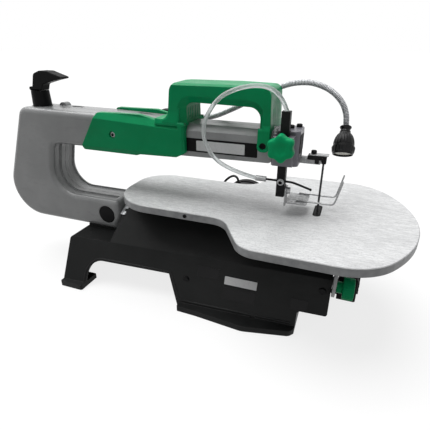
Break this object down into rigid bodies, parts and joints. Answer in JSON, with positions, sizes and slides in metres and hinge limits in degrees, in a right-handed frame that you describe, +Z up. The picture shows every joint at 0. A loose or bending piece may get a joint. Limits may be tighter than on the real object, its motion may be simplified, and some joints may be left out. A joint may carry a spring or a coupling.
{
  "type": "scroll saw",
  "caption": "Bench scroll saw with a C-shaped frame, parallel arms, tilting table, carry handle, hold-down foot with air blower, gooseneck lamp and tension lever.",
  "frame": {"origin": "on the bench, at the centre of the four bench bolt holes", "axes": "+X runs forward along the arms, from the frame's back to the blade; +Z is up; +Y completes the right-handed set and points to the motor's side"},
  "size_m": [0.6198, 0.2795, 0.3034],
  "materials": {
    "base_black": "textured satin",
    "frame_silver": "hammered satin",
    "cover_green": "satin",
    "knob_green": "satin",
    "black_plastic": "satin",
    "nose_grey": "satin",
    "table_metal": "ground",
    "steel": "brushed",
    "blade_steel": "brushed",
    "black_steel": "black oxide",
    "arm_cast": "machined",
    "motor_paint": "satin",
    "chrome": "polished",
    "rubber_black": "matte",
    "clear_tube": "clear plastic",
    "lens_pale": "frosted",
    "clamp_silver": "cast"
  },
  "bodies": {
    "frame": {"base_casting": "base_black", "base_side_screws": "black_steel", "frame_half_left": "frame_silver", "frame_half_right": "frame_silver", "limb_clamps": "clamp_silver", "upper_pivot_shaft": "steel", "lower_pivot_shaft": "steel", "pivot_caps": "black_plastic", "cover_left": "cover_green", "cover_right": "cover_green", "cover_screws": "black_steel", "grip_screws": "black_steel", "nose_housing": "nose_grey", "nose_screws": "black_steel", "arm_clip": "steel", "motor_body": "motor_paint", "motor_cap": "black_plastic", "motor_cap_screws": "steel", "motor_lead": "rubber_black", "lead_gland_motor": "black_plastic", "lead_gland_base": "black_plastic", "lock_bolt": "steel", "control_box": "black_plastic", "lamp_mount": "black_plastic", "lamp_neck": "chrome", "lamp_head": "black_plastic", "lamp_band": "black_plastic", "lamp_lens": "lens_pale"},
    "table": {"table_top": "table_metal", "table_insert": "black_plastic", "table_edge_screw": "steel", "tilt_sector": "table_metal", "sector_screws": "steel"},
    "upper_arm": {"upper_arm": "arm_cast"},
    "lower_arm": {"lower_arm": "arm_cast"},
    "blade_carrier": {"upper_blade_holder": "black_steel", "lower_blade_holder": "black_steel", "holder_plate": "steel", "blade": "blade_steel"},
    "thumb_screw": {"thumb_screw": "black_plastic"},
    "tension_rod": {"tension_rod": "steel"},
    "tension_sleeve": {"tension_sleeve": "black_plastic"},
    "tension_lever": {"tension_lever": "black_plastic"},
    "crank": {"crank": "steel"},
    "connecting_rod": {"connecting_rod": "clamp_silver"},
    "lock_knob": {"lock_knob": "knob_green"},
    "star_knob": {"star_knob": "knob_green"},
    "post": {"post": "black_steel", "blower_pipe": "black_steel", "pipe_ferrule": "steel", "pipe_clamp_bolt": "steel", "air_tube": "clear_tube"},
    "foot": {"foot_plate": "steel", "foot_wires": "steel", "foot_bolt": "steel"},
    "speed_dial": {"speed_dial": "black_plastic"},
    "power_switch": {"power_switch": "black_plastic"}
  },
  "joints": [
    {"name": "upper_arm_rock", "type": "hinge", "parent": "frame", "child": "upper_arm", "pos_m": [-0.113, 0, 0.226], "axis": [0, 1, 0], "range_deg": [-1.4, 1.4]},
    {"name": "lower_arm_rock", "type": "hinge", "parent": "frame", "child": "lower_arm", "pos_m": [-0.113, 0, 0.097], "axis": [0, 1, 0], "range_deg": [-1.4, 1.4]},
    {"name": "blade_carrier_hinge", "type": "hinge", "parent": "upper_arm", "child": "blade_carrier", "pos_m": [0.192, 0, 0.209], "axis": [0, 1, 0], "range_deg": [-1.4, 1.4]},
    {"name": "tension_rod_hinge", "type": "hinge", "parent": "upper_arm", "child": "tension_rod", "pos_m": [-0.228, 0, 0.234], "axis": [0, 1, 0], "range_deg": [-1.4, 1.4]},
    {"name": "connecting_rod_hinge", "type": "hinge", "parent": "lower_arm", "child": "connecting_rod", "pos_m": [0.066, 0, 0.05], "axis": [0, 1, 0], "range_deg": [-1.4, 1.4]},
    {"name": "crank_turn", "type": "hinge", "parent": "frame", "child": "crank", "pos_m": [0.066, 0, 0.078], "axis": [0, 1, 0], "continuous": true},
    {"name": "sleeve_turn", "type": "hinge", "parent": "tension_rod", "child": "tension_sleeve", "pos_m": [-0.228, 0, 0.26], "axis": [0, 0, 1], "continuous": true},
    {"name": "lever_lift", "type": "hinge", "parent": "tension_sleeve", "child": "tension_lever", "pos_m": [-0.2375, 0, 0.278], "axis": [0, -1, 0], "range_deg": [0, 100]},
    {"name": "thumb_screw_turn", "type": "hinge", "parent": "blade_carrier", "child": "thumb_screw", "pos_m": [0.187, 0, 0.2155], "axis": [0, 0, 1], "range_deg": [0, 720]},
    {"name": "table_tilt", "type": "hinge", "parent": "frame", "child": "table", "pos_m": [0, 0, 0.141], "axis": [1, 0, 0], "range_deg": [0, 45]},
    {"name": "lock_knob_turn", "type": "hinge", "parent": "frame", "child": "lock_knob", "pos_m": [0.245, -0.04, 0.059], "axis": [1, 0, 0], "range_deg": [0, 360]},
    {"name": "post_slide", "type": "slide", "parent": "frame", "child": "post", "axis": [0, 0, 1], "range_m": [-0.012, 0.012]},
    {"name": "foot_tilt", "type": "hinge", "parent": "post", "child": "foot", "pos_m": [0.161, -0.024, 0.174], "axis": [1, 0, 0], "range_deg": [0, 30]},
    {"name": "star_knob_turn", "type": "hinge", "parent": "frame", "child": "star_knob", "pos_m": [0.155, -0.042, 0.232], "axis": [0, 1, 0], "range_deg": [0, 360]},
    {"name": "speed_dial_turn", "type": "hinge", "parent": "frame", "child": "speed_dial", "pos_m": [0.264, 0.014, 0.044], "axis": [1, 0, 0], "range_deg": [0, 300]},
    {"name": "power_switch_rock", "type": "hinge", "parent": "frame", "child": "power_switch", "pos_m": [0.26, -0.008, 0.044], "axis": [0, 1, 0], "range_deg": [-6, 6]}
  ],
  "couplings": [
    {"joint": "lower_arm_rock", "follows": "upper_arm_rock", "ratio": 1},
    {"joint": "blade_carrier_hinge", "follows": "upper_arm_rock", "ratio": -1},
    {"joint": "tension_rod_hinge", "follows": "upper_arm_rock", "ratio": -1},
    {"joint": "connecting_rod_hinge", "follows": "upper_arm_rock", "ratio": -1}
  ]
}
